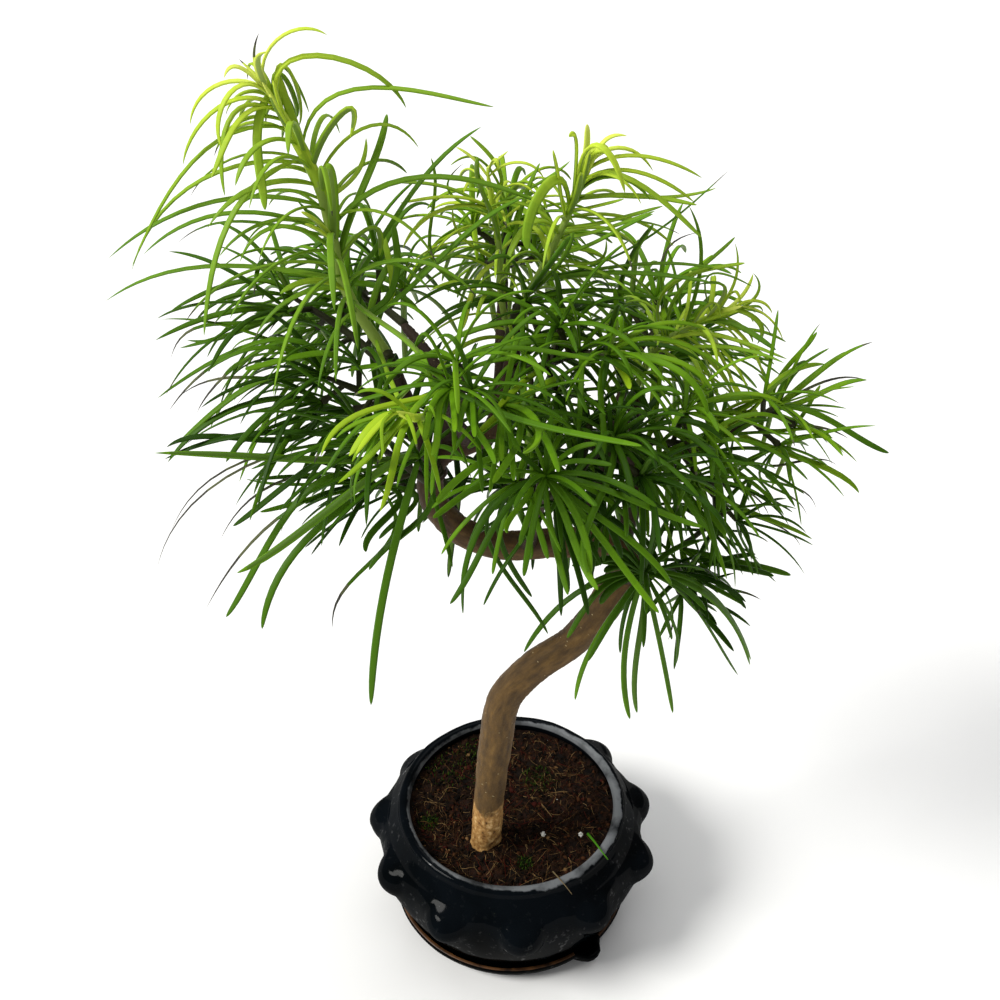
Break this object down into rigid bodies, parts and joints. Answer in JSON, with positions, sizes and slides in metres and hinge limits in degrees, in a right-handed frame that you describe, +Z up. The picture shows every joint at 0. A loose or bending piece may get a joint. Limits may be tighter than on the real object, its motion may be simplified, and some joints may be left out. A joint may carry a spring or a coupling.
{
  "type": "golden larch bonsai tree in a pot",
  "caption": "Small bonsai conifer with an S-shaped trunk and sprays of soft needles, in a round dark glazed pot with studs that stands in its saucer.",
  "frame": {"origin": "centre of the saucer's flat underside, on the axis of the pot", "axes": "+Z up, +X to the right of the front view, +Y away from the front"},
  "size_m": [0.276, 0.2326, 0.424],
  "materials": {
    "glaze": "gloss",
    "soil": "matte",
    "bark": "matte",
    "needles": "satin",
    "fresh_needles": "satin"
  },
  "bodies": {
    "root": {"saucer": "glaze", "pot": "glaze", "soil": "soil", "trunk_lower": "bark", "trunk_middle": "bark", "trunk_upper": "bark", "bough_left": "bark", "bough_left_front": "bark", "bough_front": "bark", "bough_right": "bark", "bough_right_outer": "bark", "bough_low": "bark", "bough_back_left": "bark", "bough_back": "bark", "bough_back_right": "bark", "leader": "fresh_needles", "top_right": "fresh_needles", "top_centre": "fresh_needles", "right_upper": "fresh_needles", "bright_front": "fresh_needles", "left_front": "needles", "centre_front": "needles", "low_front": "needles", "left_low": "needles", "left_middle": "needles", "left_upper": "needles", "crown_middle": "needles", "centre_right": "needles", "right_outer": "needles", "right_middle": "needles", "right_low": "needles", "low_right": "needles", "back_left": "needles", "back_top": "needles", "back_right": "needles", "back_low": "needles", "back_low_left": "needles"}
  },
  "joints": []
}
